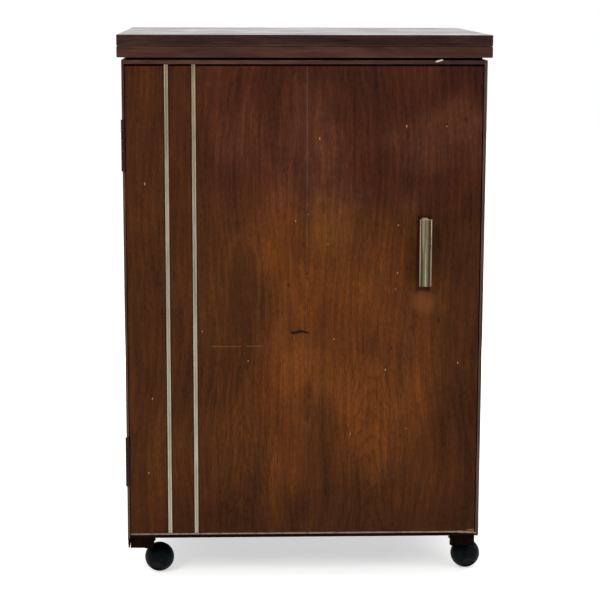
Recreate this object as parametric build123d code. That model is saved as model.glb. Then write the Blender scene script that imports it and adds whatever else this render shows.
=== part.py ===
from build123d import *
import os

# A sewing table: a cabinet on four ball casters, with one inset door, a fixed table top that has
# the opening for the sewing machine, and an upper leaf that folds over to the left to lengthen it.
# Millimetres. X runs left to right, Y front to back, Z up from the floor. x = 0 is the cabinet's
# centre line, and y = 0 is half way between the handle's front and the table top's back edge.

# Table top and folding leaf
TOP_WIDTH = 540.0
TOP_DEPTH = 420.0
TOP_THICKNESS = 16.0
LEAF_GAP = 0.4
TOP_EDGE_RADIUS = 1.2
FRONT_OVERHANG = 8.5

# Cabinet
BODY_WIDTH = 528.0
BODY_DEPTH = 403.0
BODY_BOTTOM = 65.7
BODY_HEIGHT = 712.5
BOARD = 16.0
BACK_THICKNESS = 4.0
BACK_REBATE = 8.0
LIP = {"left": 3.6, "right": 4.5}
RAIL_LIP = 5.5
BOTTOM_LIP = 3.6
BOTTOM_LIP_SETBACK = 1.0
RAIL_DEPTH = 62.0
SPACER_HEIGHT = 4.0
SPACER_WIDTH = 20.0
SPACER_INSET = 7.0
SMALL_ROUND = 0.6

# How far a shape that cuts right through a board runs past its faces
CUT_OVERRUN = 1.0

# Door
DOOR_THICKNESS = 16.0
DOOR_GAP = {"left": 1.2, "right": 1.5}
DOOR_BOTTOM = 70.4
DOOR_TOP = 769.7
DOOR_BACK_GAP = 2.5
EDGING_HEIGHT = 3.5
EDGING_PROUD = 0.4
DOOR_ROUND = 0.7
STRIP_CENTRES = (-200.1, -160.7)
STRIP_WIDTH = 5.8
STRIP_PROUD = 1.3
STRIP_SUNK = 1.5
STRIP_GROOVE = 2.4
STRIP_GROOVE_DEPTH = 0.6
STRIP_OVERRUN = 2.4

# Handle: one length of T-shaped bar with a ribbed cap
HANDLE_X = 175.5
HANDLE_BOTTOM = 451.4
HANDLE_LENGTH = 98.3
HANDLE_WIDTH = 18.2
HANDLE_DEPTH = 25.0
HANDLE_CAP = 3.0
HANDLE_WEB = 8.5
HANDLE_RIB_WIDTH = 2.4
HANDLE_RIB_HEIGHT = 1.2
HANDLE_SCREW_INSET = 20.0
HANDLE_SCREW_RADIUS = 2.0
HANDLE_SCREW_DEPTH = 10.0
HANDLE_HEAD_RADIUS = 3.8
HANDLE_HEAD_HEIGHT = 2.2
HANDLE_HEAD_ROUND = 1.0

# Hinges: five rings on a pin
RINGS = 5
RING_GAP = 0.4
RING_RADIUS = 3.0
PIN_RADIUS = 1.5
PIN_CLEARANCE = 0.05
DOOR_HINGE_LENGTH = 75.0
DOOR_HINGE_END = 76.5
DOOR_PIVOT_X = -BODY_WIDTH / 2 + 1.4
DOOR_PIVOT_FORWARD = 0.5
DOOR_PLATE = 1.0
DOOR_PLATE_REACH = 17.0
DOOR_ARM_SETBACK = 0.5
DOOR_SCREW_INSET = 11.0
SIDE_PLATE_REACH = 9.6
SIDE_SCREW_INSET = 4.5
DOOR_HINGE_SCREWS = (0.2, 0.8)
DOOR_NOTCH_DEPTH = 4.0
LEAF_HINGE_LENGTH = 60.0
LEAF_HINGE_INSET = 75.0
LEAF_HINGE_OUT = 0.2
LEAF_PLATE = 1.5
LEAF_PLATE_REACH = 25.0
LEAF_HINGE_SCREWS = (1 / 6, 1 / 2, 5 / 6)
RING_ROOM = 0.4

# Screws
SCREW_HEAD = 2.6
SCREW_SHANK = 1.2
SCREW_LENGTH = 11.0
SCREW_HEAD_HEIGHT = 1.0
SCREW_SLOT_WIDTH = 0.6
SCREW_SLOT_DEPTH = 0.5

# Opening for the sewing machine, and the two hinges that carry it
MACHINE_WIDTH = 380.0
MACHINE_DEPTH = 184.0
MACHINE_REAR_Y = 130.0
MACHINE_HINGE_X = 107.5
MACHINE_PIVOT_FORWARD = 7.5
MACHINE_PIVOT_DROP = 9.0
MACHINE_PLATE = (36.0, 2.0, 14.0)
MACHINE_PLATE_LIFT = 1.0
MACHINE_SCREW_INSET = 4.0
MACHINE_EAR_OFFSET = 7.0
MACHINE_EAR = 3.0
MACHINE_EAR_RADIUS = 4.0
MACHINE_BARREL_RADIUS = 4.0
MACHINE_PIN_RADIUS = 1.5
FINGER_RADIUS = 4.75
FINGER_LENGTH = 38.0
FINGER_TIP_ROUND = 1.0
FINGER_SIDE_ROOM = 0.4
COLLAR_RADIUS = 6.5
COLLAR_DROP = 11.0
COLLAR_THICKNESS = 3.0

# Shelf and its battens
SHELF_BOTTOM = 270.0
SHELF_FRONT_GAP = 34.0
SHELF_CLEARANCE = 1.0
BATTEN_HEIGHT = 20.0
BATTEN_LENGTH = 300.0

# Catch that holds the door shut
CATCH_Z = 520.0
CATCH_SIZE = (12.0, 26.0, 34.0)
CATCH_MOUTH = 6.0
CATCH_MOUTH_DEPTH = 1.0
CATCH_MOUTH_INSET = 3.0
STRIKE_SIZE = (9.0, 1.4, 24.0)
CATCH_CLEARANCE = 0.6

# Caster blocks
BLOCK_WIDTH = 38.0
BLOCK_BOTTOM_WIDTH = 33.0
BLOCK_HEIGHT = 17.0
BLOCK_LENGTH = 88.0
BLOCK_SIDE_INSET = {"left": 3.5, "right": 5.0}
BLOCK_END_INSET = 6.0
BLOCK_SCREW_SIDE_INSET = 9.0
BLOCK_SCREW_END_INSET = 22.0
BLOCK_SCREW_LENGTH = 28.0

# Casters: a ball in two halves, the lower one the wheel, on an axle that slants down
BALL_RADIUS = 22.2
BALL_SPLIT = 0.4
WHEEL_FACE = 19.7
WHEEL_DISH_RADIUS = 8.6
WHEEL_DISH_DEPTH = 1.0
AXLE_SLANT = 35.0
AXLE_RADIUS = 3.0
AXLE_LENGTH = 14.0
AXLE_END_ROOM = 1.0
CASTER_X = 235.0
CASTER_INSET = 50.0
CASTER_TRAIL = 16.5
STEM_RADIUS = 5.0
STEM_LENGTH = 26.0
STEM_CLEARANCE = 0.08
BOSS_RADIUS = 8.0
BOSS_FOOT = 36.0
SOCKET_WALL = 2.0
SOCKET_FLANGE_RADIUS = 10.5
SOCKET_FLANGE = 1.5
SOCKET_LENGTH = 28.0
FLANGE_CLEARANCE = 0.4
CASTER_TURNS = {"front_left": -10.0, "front_right": 10.0, "rear_left": 8.0, "rear_right": -15.0}

# Levels and planes that follow from the above
FRONT_Y = -(TOP_DEPTH - FRONT_OVERHANG - HANDLE_DEPTH) / 2
BACK_Y = FRONT_Y + BODY_DEPTH
BODY_TOP = BODY_BOTTOM + BODY_HEIGHT
TOP_BOTTOM = BODY_TOP + SPACER_HEIGHT
TOP_FACE = TOP_BOTTOM + TOP_THICKNESS
LEAF_BOTTOM = TOP_FACE + LEAF_GAP
SIDE_X = BODY_WIDTH / 2
INNER_X = SIDE_X - BOARD
LIP_X = {"left": -SIDE_X + LIP["left"], "right": SIDE_X - LIP["right"]}
DOOR_X = (LIP_X["left"] + DOOR_GAP["left"], LIP_X["right"] - DOOR_GAP["right"])
SHOULDER_Y = FRONT_Y + DOOR_THICKNESS + DOOR_BACK_GAP
DOOR_BACK_Y = FRONT_Y + DOOR_THICKNESS
PANEL_Y = BACK_Y - BACK_THICKNESS
TOP_FRONT_Y = FRONT_Y - FRONT_OVERHANG
DOOR_PIVOT_Y = FRONT_Y - DOOR_PIVOT_FORWARD
LEAF_PIVOT_X = -TOP_WIDTH / 2 - LEAF_HINGE_OUT
LEAF_PIVOT_Z = TOP_FACE + LEAF_GAP / 2
MACHINE_PIVOT_Y = MACHINE_REAR_Y - MACHINE_PIVOT_FORWARD
MACHINE_PIVOT_Z = TOP_FACE - MACHINE_PIVOT_DROP
BLOCK_BOTTOM = BODY_BOTTOM - BLOCK_HEIGHT

DOOR_HINGES = {
    "upper": DOOR_TOP - DOOR_HINGE_END - DOOR_HINGE_LENGTH,
    "lower": DOOR_BOTTOM + DOOR_HINGE_END,
}
LEAF_HINGES = {
    "front": TOP_FRONT_Y + LEAF_HINGE_INSET,
    "rear": TOP_FRONT_Y + TOP_DEPTH - LEAF_HINGE_INSET - LEAF_HINGE_LENGTH,
}
SIDES = {"left": -1, "right": 1}

parts = {}


def block(x, y, z):
    """A box that fills the three ranges, each given as (low, high)."""
    size = [high - low for low, high in (x, y, z)]
    centre = [(high + low) / 2 for low, high in (x, y, z)]
    return Pos(*centre) * Box(*size)


def rod(radius, length):
    """A cylinder that stands on the origin."""
    return Cylinder(radius, length, align=(Align.CENTER, Align.CENTER, Align.MIN))


def mirrored(low, high, side):
    """The range low to high of X on the right, or its mirror image on the left."""
    return (low, high) if side > 0 else (-high, -low)


def screw(length):
    """A countersunk wood screw, head up, its face at the origin."""
    head = Cone(SCREW_SHANK, SCREW_HEAD, SCREW_HEAD_HEIGHT, align=(Align.CENTER, Align.CENTER, Align.MAX))
    return head + Pos(0, 0, -length) * rod(SCREW_SHANK, length - SCREW_HEAD_HEIGHT)


def screw_slot():
    """The driver slot across a screw's head."""
    return Pos(0, 0, -SCREW_SLOT_DEPTH / 2) * Box(2 * SCREW_HEAD, SCREW_SLOT_WIDTH, SCREW_SLOT_DEPTH)


def fasten(group, place, through, length=SCREW_LENGTH):
    """Adds a screw to the group, and makes its hole in every part it goes through."""
    for name in through:
        parts[name] -= place * screw(length)
    parts.setdefault(group, []).append(place * (screw(length) - screw_slot()))


def hinge_leaf(length, first_ring, arm, plates):
    """Every second ring of a hinge along +Z, each with an arm that joins it to the plates."""
    pitch = length / RINGS
    leaf = None
    for plate_x, plate_y in plates:
        plate = block(plate_x, plate_y, (0, length))
        leaf = plate if leaf is None else leaf + plate
    for ring in range(first_ring, RINGS, 2):
        low = ring * pitch + RING_GAP / 2
        high = (ring + 1) * pitch - RING_GAP / 2
        leaf += Pos(0, 0, low) * rod(RING_RADIUS, high - low)
        leaf += block(arm[0], arm[1], (low, high))
    return leaf - rod(PIN_RADIUS + PIN_CLEARANCE, length)


def hinge_pin(length):
    """A hinge pin that ends flush with the outer rings."""
    return rod(PIN_RADIUS, length)


def carcass():
    """Two side panels, a back, a bottom board, two top rails and the strips that carry the top."""
    height = (BODY_BOTTOM, BODY_TOP)
    for name, side in SIDES.items():
        panel = block(mirrored(INNER_X, SIDE_X, side), (FRONT_Y, BACK_Y), height)
        rebate_x = sorted((side * INNER_X, LIP_X[name]))
        panel -= block(rebate_x, (FRONT_Y, SHOULDER_Y), height)
        panel -= block(mirrored(INNER_X, INNER_X + BACK_REBATE, side), (PANEL_Y, BACK_Y), height)
        corner = panel.edges().filter_by(Axis.Z).sort_by(Axis.X)
        outer = corner[:2] if side < 0 else corner[-2:]
        parts[f"side_panel_{name}"] = fillet(outer, SMALL_ROUND)

    back_x = INNER_X + BACK_REBATE
    parts["back_panel"] = block((-back_x, back_x), (PANEL_Y, BACK_Y), height)

    bottom = block((-INNER_X, INNER_X), (SHOULDER_Y, PANEL_Y), (BODY_BOTTOM, BODY_BOTTOM + BOARD))
    lip_front = FRONT_Y + BOTTOM_LIP_SETBACK
    between_lips = (LIP_X["left"], LIP_X["right"])
    bottom += block(between_lips, (lip_front, SHOULDER_Y), (BODY_BOTTOM, BODY_BOTTOM + BOTTOM_LIP))
    parts["bottom_board"] = bottom

    rail = block((-INNER_X, INNER_X), (SHOULDER_Y, SHOULDER_Y + RAIL_DEPTH), (BODY_TOP - BOARD, BODY_TOP))
    rail += block(between_lips, (FRONT_Y, SHOULDER_Y), (BODY_TOP - RAIL_LIP, BODY_TOP))
    parts["top_rail_front"] = rail
    parts["top_rail_rear"] = block(
        (-INNER_X, INNER_X), (PANEL_Y - RAIL_DEPTH, PANEL_Y), (BODY_TOP - BOARD, BODY_TOP)
    )

    spacer_z = (BODY_TOP, TOP_BOTTOM)
    outer_x = SIDE_X - SPACER_INSET
    front_y = FRONT_Y + SPACER_INSET
    rear_y = BACK_Y - SPACER_INSET
    parts["spacer_front"] = block((-outer_x, outer_x), (front_y, front_y + SPACER_WIDTH), spacer_z)
    parts["spacer_rear"] = block((-outer_x, outer_x), (rear_y - SPACER_WIDTH, rear_y), spacer_z)
    for name, side in SIDES.items():
        strip_x = mirrored(outer_x - SPACER_WIDTH, outer_x, side)
        strip_y = (front_y + SPACER_WIDTH, rear_y - SPACER_WIDTH)
        parts[f"spacer_{name}"] = block(strip_x, strip_y, spacer_z)


def shelf():
    """One loose shelf on two battens."""
    shelf_z = (SHELF_BOTTOM, SHELF_BOTTOM + BOARD)
    shelf_y = (FRONT_Y + SHELF_FRONT_GAP, PANEL_Y - SHELF_CLEARANCE)
    half = INNER_X - SHELF_CLEARANCE
    parts["shelf"] = block((-half, half), shelf_y, shelf_z)
    centre_y = (shelf_y[0] + shelf_y[1]) / 2
    for name, side in SIDES.items():
        batten_x = mirrored(INNER_X - BOARD, INNER_X, side)
        batten_y = (centre_y - BATTEN_LENGTH / 2, centre_y + BATTEN_LENGTH / 2)
        batten_z = (SHELF_BOTTOM - BATTEN_HEIGHT, SHELF_BOTTOM)
        parts[f"shelf_batten_{name}"] = block(batten_x, batten_y, batten_z)


def slab(bottom):
    """A board of the table top's outline with its edges eased."""
    edge = (TOP_FRONT_Y, TOP_FRONT_Y + TOP_DEPTH)
    board = block((-TOP_WIDTH / 2, TOP_WIDTH / 2), edge, (bottom, bottom + TOP_THICKNESS))
    return fillet(board.edges(), TOP_EDGE_RADIUS)


def leaf_hinge_recess():
    """The room that one leaf hinge takes in the two boards, along +Z from the origin."""
    reach = RING_RADIUS + RING_ROOM
    rings = block((-reach, reach), (-reach, reach), (0, LEAF_HINGE_LENGTH))
    half_gap = LEAF_GAP / 2
    plate_y = (-half_gap - LEAF_PLATE, half_gap + LEAF_PLATE)
    return rings + block((0, LEAF_PLATE_REACH), plate_y, (0, LEAF_HINGE_LENGTH))


def tops():
    """The fixed top with its machine opening, the folding leaf, and the two hinges between them."""
    table = slab(TOP_BOTTOM)
    opening_x = (-MACHINE_WIDTH / 2, MACHINE_WIDTH / 2)
    opening_y = (MACHINE_REAR_Y - MACHINE_DEPTH, MACHINE_REAR_Y)
    table -= block(opening_x, opening_y, (TOP_BOTTOM - CUT_OVERRUN, TOP_FACE + CUT_OVERRUN))
    leaf = slab(LEAF_BOTTOM)
    half_gap = LEAF_GAP / 2
    inner = RING_RADIUS + RING_ROOM
    lower_y = (half_gap, half_gap + LEAF_PLATE)
    upper_y = (-half_gap - LEAF_PLATE, -half_gap)
    pins = []
    for name, low_y in LEAF_HINGES.items():
        place = Pos(LEAF_PIVOT_X, low_y, LEAF_PIVOT_Z) * Rot(-90, 0, 0)
        table -= place * leaf_hinge_recess()
        leaf -= place * leaf_hinge_recess()
        for kind, first_ring, plate_y in (("fixed", 0, lower_y), ("moving", 1, upper_y)):
            shape = hinge_leaf(
                LEAF_HINGE_LENGTH, first_ring, ((0, inner), plate_y), [((inner, LEAF_PLATE_REACH), plate_y)]
            )
            parts[f"leaf_hinge_{name}_{kind}"] = place * shape
        pins.append(place * hinge_pin(LEAF_HINGE_LENGTH))
    parts["table_top"] = table
    parts["folding_leaf"] = leaf
    parts["leaf_hinge_pins"] = pins

    for name, low_y in LEAF_HINGES.items():
        for share in LEAF_HINGE_SCREWS:
            x = LEAF_PIVOT_X + (inner + LEAF_PLATE_REACH) / 2
            y = low_y + share * LEAF_HINGE_LENGTH
            fasten("table_top_screws", Pos(x, y, TOP_FACE), ["table_top", f"leaf_hinge_{name}_fixed"])
            over = Pos(x, y, LEAF_BOTTOM) * Rot(180, 0, 0)
            fasten("folding_leaf_screws", over, ["folding_leaf", f"leaf_hinge_{name}_moving"])


def machine_hinges():
    """At the back of the opening, two fingers that go into the machine's bed, up to their collars."""
    width, thickness, height = MACHINE_PLATE
    reach = MACHINE_EAR_OFFSET + MACHINE_EAR
    pins = []
    for name, side in SIDES.items():
        x = side * MACHINE_HINGE_X
        pivot = Pos(x, MACHINE_PIVOT_Y, MACHINE_PIVOT_Z)
        along_x = pivot * Rot(0, 90, 0)
        plate_y = (MACHINE_REAR_Y - thickness, MACHINE_REAR_Y)
        plate_z = (TOP_BOTTOM + MACHINE_PLATE_LIFT, TOP_BOTTOM + MACHINE_PLATE_LIFT + height)
        bracket = block((x - width / 2, x + width / 2), plate_y, plate_z)
        for ear in (-reach, MACHINE_EAR_OFFSET):
            ear_x = (x + ear, x + ear + MACHINE_EAR)
            ear_z = (MACHINE_PIVOT_Z - MACHINE_EAR_RADIUS, MACHINE_PIVOT_Z + MACHINE_EAR_RADIUS)
            bracket += block(ear_x, (MACHINE_PIVOT_Y, plate_y[0]), ear_z)
            bracket += along_x * Pos(0, 0, ear) * rod(MACHINE_EAR_RADIUS, MACHINE_EAR)
        bracket -= along_x * Cylinder(MACHINE_PIN_RADIUS + PIN_CLEARANCE, 2 * reach)
        parts[f"machine_bracket_{name}"] = bracket
        pins.append(along_x * Cylinder(MACHINE_PIN_RADIUS, 2 * reach))

        barrel = along_x * Cylinder(MACHINE_BARREL_RADIUS, 2 * (MACHINE_EAR_OFFSET - FINGER_SIDE_ROOM))
        finger = pivot * Pos(0, 0, -FINGER_LENGTH) * rod(FINGER_RADIUS, FINGER_LENGTH)
        finger = fillet(finger.edges().sort_by(Axis.Z)[0], FINGER_TIP_ROUND) + barrel
        finger += pivot * Pos(0, 0, -COLLAR_DROP) * rod(COLLAR_RADIUS, COLLAR_THICKNESS)
        finger -= along_x * Cylinder(MACHINE_PIN_RADIUS + PIN_CLEARANCE, 2 * reach)
        parts[f"machine_finger_{name}"] = finger
        screw_offset = width / 2 - MACHINE_SCREW_INSET
        for screw_x in (x - screw_offset, x + screw_offset):
            front = Pos(screw_x, plate_y[0], (plate_z[0] + plate_z[1]) / 2) * Rot(90, 0, 0)
            fasten("machine_bracket_screws", front, [f"machine_bracket_{name}", "table_top"])
    parts["machine_hinge_pins"] = pins


def strip_profile(height):
    """A trim strip that stands on the origin, its grooved face towards the front."""
    half = STRIP_WIDTH / 2
    strip = block((-half, half), (-STRIP_PROUD, STRIP_SUNK), (0, height))
    front_edges = strip.edges().filter_by(Axis.Z).sort_by(Axis.Y)[:2]
    strip = fillet(front_edges, DOOR_ROUND)
    groove = block(
        (-STRIP_GROOVE / 2, STRIP_GROOVE / 2), (-STRIP_PROUD, STRIP_GROOVE_DEPTH - STRIP_PROUD), (0, height)
    )
    return strip - groove


def handle():
    """The T-shaped pull: a web on the door, and a cap with two side lips and a middle rib."""
    cap_y = (-HANDLE_DEPTH + HANDLE_RIB_HEIGHT, -HANDLE_DEPTH + HANDLE_RIB_HEIGHT + HANDLE_CAP)
    web = HANDLE_WEB / 2
    half = HANDLE_WIDTH / 2
    height = (0, HANDLE_LENGTH)
    bar = block((-half, half), cap_y, height) + block((-web, web), (cap_y[0], 0), height)
    for low in (-half, -HANDLE_RIB_WIDTH / 2, half - HANDLE_RIB_WIDTH):
        rib = block((low, low + HANDLE_RIB_WIDTH), (-HANDLE_DEPTH, cap_y[0]), height)
        bar += fillet(rib.edges().filter_by(Axis.Z).sort_by(Axis.Y)[:2], SMALL_ROUND)
    return Pos(HANDLE_X, FRONT_Y, HANDLE_BOTTOM) * bar


def door():
    """The inset door with its edging, trim strips, handle and strike."""
    panel_z = (DOOR_BOTTOM + EDGING_HEIGHT, DOOR_TOP)
    panel = block(DOOR_X, (FRONT_Y, DOOR_BACK_Y), panel_z)
    panel = fillet(panel.edges().filter_by(Axis.Z), DOOR_ROUND)
    edging_z = (DOOR_BOTTOM, DOOR_BOTTOM + EDGING_HEIGHT)
    edging = block(DOOR_X, (FRONT_Y - EDGING_PROUD, DOOR_BACK_Y), edging_z)
    parts["door_bottom_edging"] = fillet(edging.edges().filter_by(Axis.X), DOOR_ROUND)

    strip_height = DOOR_TOP + STRIP_OVERRUN - panel_z[0]
    for name, x in zip(SIDES, STRIP_CENTRES):
        half = STRIP_WIDTH / 2
        panel -= block((x - half, x + half), (FRONT_Y, FRONT_Y + STRIP_SUNK), panel_z)
        parts[f"trim_strip_{name}"] = Pos(x, FRONT_Y, panel_z[0]) * strip_profile(strip_height)

    pull = handle()
    screws = []
    for height in (HANDLE_SCREW_INSET, HANDLE_LENGTH - HANDLE_SCREW_INSET):
        z = HANDLE_BOTTOM + height
        place = Pos(HANDLE_X, DOOR_BACK_Y, z)
        shank = place * Rot(90, 0, 0) * rod(HANDLE_SCREW_RADIUS, DOOR_THICKNESS + HANDLE_SCREW_DEPTH)
        head = place * Rot(-90, 0, 0) * rod(HANDLE_HEAD_RADIUS, HANDLE_HEAD_HEIGHT)
        head = fillet(head.edges().sort_by(Axis.Y)[-1], HANDLE_HEAD_ROUND)
        panel -= shank
        pull -= shank
        screws.append(head + shank)
    parts["door_panel"] = panel
    parts["door_handle"] = pull
    parts["handle_screws"] = screws

    width, thickness, length = STRIKE_SIZE
    strike_x = (INNER_X - CATCH_SIZE[0], INNER_X - CATCH_SIZE[0] + width)
    strike_z = (CATCH_Z - length / 2, CATCH_Z + length / 2)
    parts["door_strike"] = block(strike_x, (DOOR_BACK_Y, DOOR_BACK_Y + thickness), strike_z)


def door_catch():
    """A magnetic catch on the right side panel, open towards the door."""
    width, depth, length = CATCH_SIZE
    front = DOOR_BACK_Y + STRIKE_SIZE[1] + CATCH_CLEARANCE
    body_z = (CATCH_Z - length / 2, CATCH_Z + length / 2)
    body = block((INNER_X - width, INNER_X), (front, front + depth), body_z)
    slot_x = (INNER_X - width + CATCH_MOUTH / 2, INNER_X - CATCH_MOUTH / 2)
    slot_z = (body_z[0] + CATCH_MOUTH_INSET, body_z[1] - CATCH_MOUTH_INSET)
    body -= block(slot_x, (front, front + CATCH_MOUTH_DEPTH), slot_z)
    parts["door_catch"] = body


def door_hinges():
    """Two cranked hinges whose rings stand in notches at the front of the left side panel."""
    cabinet_face = LIP_X["left"] - DOOR_PIVOT_X
    door_edge = DOOR_X[0] - DOOR_PIVOT_X
    shoulder = SHOULDER_Y - DOOR_PIVOT_Y
    door_back = DOOR_BACK_Y - DOOR_PIVOT_Y
    door_front = FRONT_Y - DOOR_PIVOT_Y
    arm_y = RING_RADIUS - DOOR_ARM_SETBACK
    cabinet_arm = ((0, cabinet_face + DOOR_PLATE), (arm_y, arm_y + DOOR_PLATE))
    cabinet_plates = [
        ((cabinet_face, cabinet_face + DOOR_PLATE), (arm_y, shoulder + DOOR_PLATE)),
        ((cabinet_face, cabinet_face + SIDE_PLATE_REACH), (shoulder, shoulder + DOOR_PLATE)),
    ]
    door_arm = ((0, door_edge + DOOR_PLATE), (door_front - DOOR_PLATE, door_front))
    door_plates = [
        ((door_edge, door_edge + DOOR_PLATE), (door_front - DOOR_PLATE, door_back + DOOR_PLATE)),
        ((door_edge, door_edge + DOOR_PLATE_REACH), (door_back, door_back + DOOR_PLATE)),
    ]
    pins = []
    for name, low_z in DOOR_HINGES.items():
        place = Pos(DOOR_PIVOT_X, DOOR_PIVOT_Y, low_z)
        high_z = low_z + DOOR_HINGE_LENGTH
        notch_z = (low_z - RING_ROOM, high_z + RING_ROOM)
        notch_x = (-SIDE_X - CUT_OVERRUN, LIP_X["left"])
        notch_y = (FRONT_Y - CUT_OVERRUN, FRONT_Y + DOOR_NOTCH_DEPTH)
        parts["side_panel_left"] -= block(notch_x, notch_y, notch_z)
        fixed = place * hinge_leaf(DOOR_HINGE_LENGTH, 0, cabinet_arm, cabinet_plates)
        moving = place * hinge_leaf(DOOR_HINGE_LENGTH, 1, door_arm, door_plates)
        parts["side_panel_left"] -= fixed
        parts["door_panel"] -= place * block(*door_plates[0], (0, DOOR_HINGE_LENGTH))
        parts[f"door_hinge_{name}_fixed"] = fixed
        parts[f"door_hinge_{name}_moving"] = moving
        pins.append(place * hinge_pin(DOOR_HINGE_LENGTH))
        for share in DOOR_HINGE_SCREWS:
            z = low_z + share * DOOR_HINGE_LENGTH
            into_side = Pos(-INNER_X - SIDE_SCREW_INSET, SHOULDER_Y, z) * Rot(90, 0, 0)
            fasten("side_panel_screws", into_side, ["side_panel_left", f"door_hinge_{name}_fixed"])
            into_door = Pos(DOOR_X[0] + DOOR_SCREW_INSET, DOOR_BACK_Y + DOOR_PLATE, z) * Rot(-90, 0, 0)
            fasten("door_screws", into_door, ["door_panel", f"door_hinge_{name}_moving"])
    parts["door_hinge_pins"] = pins


def axle_frame(trail):
    """Places a shape built along +Z with its axle slanting down towards the caster's own front."""
    return Pos(trail, 0, BALL_RADIUS) * Rot(90 + AXLE_SLANT, 0, 0)


def half_ball(low, high):
    """The slice of the ball between two planes square to the axle."""
    cutter = block((-BALL_RADIUS, BALL_RADIUS), (-BALL_RADIUS, BALL_RADIUS), (low, high))
    return Sphere(BALL_RADIUS) & cutter


def caster(name, side_name, depth_side):
    """A block under the cabinet, a socket, the swivelling hood with its stem, and the wheel."""
    side = SIDES[side_name]
    outer = SIDE_X - BLOCK_SIDE_INSET[side_name]
    low_y = FRONT_Y + BLOCK_END_INSET if depth_side < 0 else BACK_Y - BLOCK_END_INSET - BLOCK_LENGTH
    outline = [
        (side * outer, BODY_BOTTOM),
        (side * (outer - BLOCK_WIDTH), BODY_BOTTOM),
        (side * (outer - BLOCK_BOTTOM_WIDTH), BLOCK_BOTTOM),
        (side * outer, BLOCK_BOTTOM),
    ]
    face = make_face(Polyline(*outline, close=True))
    wood = Pos(0, low_y + BLOCK_LENGTH, 0) * Rot(90, 0, 0) * extrude(face, BLOCK_LENGTH)

    axis_y = FRONT_Y + CASTER_INSET if depth_side < 0 else BACK_Y - CASTER_INSET
    axis = Pos(side * CASTER_X, axis_y, 0)
    bore = STEM_RADIUS + STEM_CLEARANCE
    sleeve = Pos(0, 0, BLOCK_BOTTOM) * rod(bore + SOCKET_WALL, SOCKET_LENGTH)
    socket = sleeve + Pos(0, 0, BLOCK_BOTTOM - SOCKET_FLANGE) * rod(SOCKET_FLANGE_RADIUS, SOCKET_FLANGE)
    socket -= Pos(0, 0, BLOCK_BOTTOM - SOCKET_FLANGE) * rod(bore, SOCKET_LENGTH)
    parts[f"caster_block_{name}"] = wood - axis * sleeve
    parts["bottom_board"] -= axis * sleeve
    parts[f"caster_socket_{name}"] = axis * socket

    boss_top = BLOCK_BOTTOM - SOCKET_FLANGE - FLANGE_CLEARANCE
    stem_top = boss_top + FLANGE_CLEARANCE + STEM_LENGTH
    frame = axle_frame(CASTER_TRAIL)
    hood = frame * half_ball(-BALL_RADIUS, -BALL_SPLIT)
    hood += Pos(0, 0, BOSS_FOOT) * rod(BOSS_RADIUS, boss_top - BOSS_FOOT)
    hood += frame * Pos(0, 0, -2 * BALL_SPLIT) * rod(AXLE_RADIUS, AXLE_LENGTH)
    hood += Pos(0, 0, BOSS_FOOT) * rod(STEM_RADIUS, stem_top - BOSS_FOOT)
    wheel = half_ball(BALL_SPLIT, WHEEL_FACE)
    wheel -= rod(AXLE_RADIUS + PIN_CLEARANCE, AXLE_LENGTH + AXLE_END_ROOM)
    wheel -= Pos(0, 0, WHEEL_FACE - WHEEL_DISH_DEPTH) * rod(WHEEL_DISH_RADIUS, WHEEL_DISH_DEPTH)
    turned = axis * Rot(0, 0, CASTER_TURNS[name])
    parts[f"caster_hood_{name}"] = turned * hood
    parts[f"caster_wheel_{name}"] = turned * frame * wheel

    screw_x = side * (outer - BLOCK_BOTTOM_WIDTH + BLOCK_SCREW_SIDE_INSET)
    for offset in (BLOCK_SCREW_END_INSET, BLOCK_LENGTH - BLOCK_SCREW_END_INSET):
        place = Pos(screw_x, low_y + offset, BLOCK_BOTTOM) * Rot(180, 0, 0)
        fasten("block_screws", place, [f"caster_block_{name}", "bottom_board"], BLOCK_SCREW_LENGTH)


carcass()
shelf()
tops()
machine_hinges()
door()
door_catch()
door_hinges()
for depth_name, depth_side in {"front": -1, "rear": 1}.items():
    for side_name in SIDES:
        caster(f"{depth_name}_{side_name}", side_name, depth_side)

os.makedirs("parts", exist_ok=True)
for name, shape in parts.items():
    whole = Compound(children=list(shape)) if isinstance(shape, list) else shape
    whole.label = name
    export_step(whole, f"parts/{name}.step")
print(len(parts), "parts written")
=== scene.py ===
import math
import random

import bmesh
import bpy
from mathutils import Matrix, Vector


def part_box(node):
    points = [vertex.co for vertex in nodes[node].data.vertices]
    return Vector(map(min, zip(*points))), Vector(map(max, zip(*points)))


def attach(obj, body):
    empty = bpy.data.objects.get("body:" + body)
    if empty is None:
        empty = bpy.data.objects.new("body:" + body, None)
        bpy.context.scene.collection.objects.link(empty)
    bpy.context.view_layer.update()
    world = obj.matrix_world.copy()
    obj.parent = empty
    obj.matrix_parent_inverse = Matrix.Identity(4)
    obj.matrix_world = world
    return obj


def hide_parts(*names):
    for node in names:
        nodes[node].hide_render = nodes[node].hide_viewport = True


# The looks of a sewing table: materials for its CAD nodes, a few pieces modelled here, and a plain studio.
# Everything is in metres, in the CAD frame: X runs left to right, Y front to back, Z up from the floor.

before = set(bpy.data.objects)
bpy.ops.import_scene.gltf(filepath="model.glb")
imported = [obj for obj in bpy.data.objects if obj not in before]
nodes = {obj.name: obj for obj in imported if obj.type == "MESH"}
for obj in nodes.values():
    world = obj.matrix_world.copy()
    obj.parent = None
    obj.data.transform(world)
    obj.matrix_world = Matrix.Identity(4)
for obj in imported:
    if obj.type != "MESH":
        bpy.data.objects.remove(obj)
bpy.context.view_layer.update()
MM = 0.001


def low(node):
    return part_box(node)[0]


def high(node):
    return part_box(node)[1]


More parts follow.
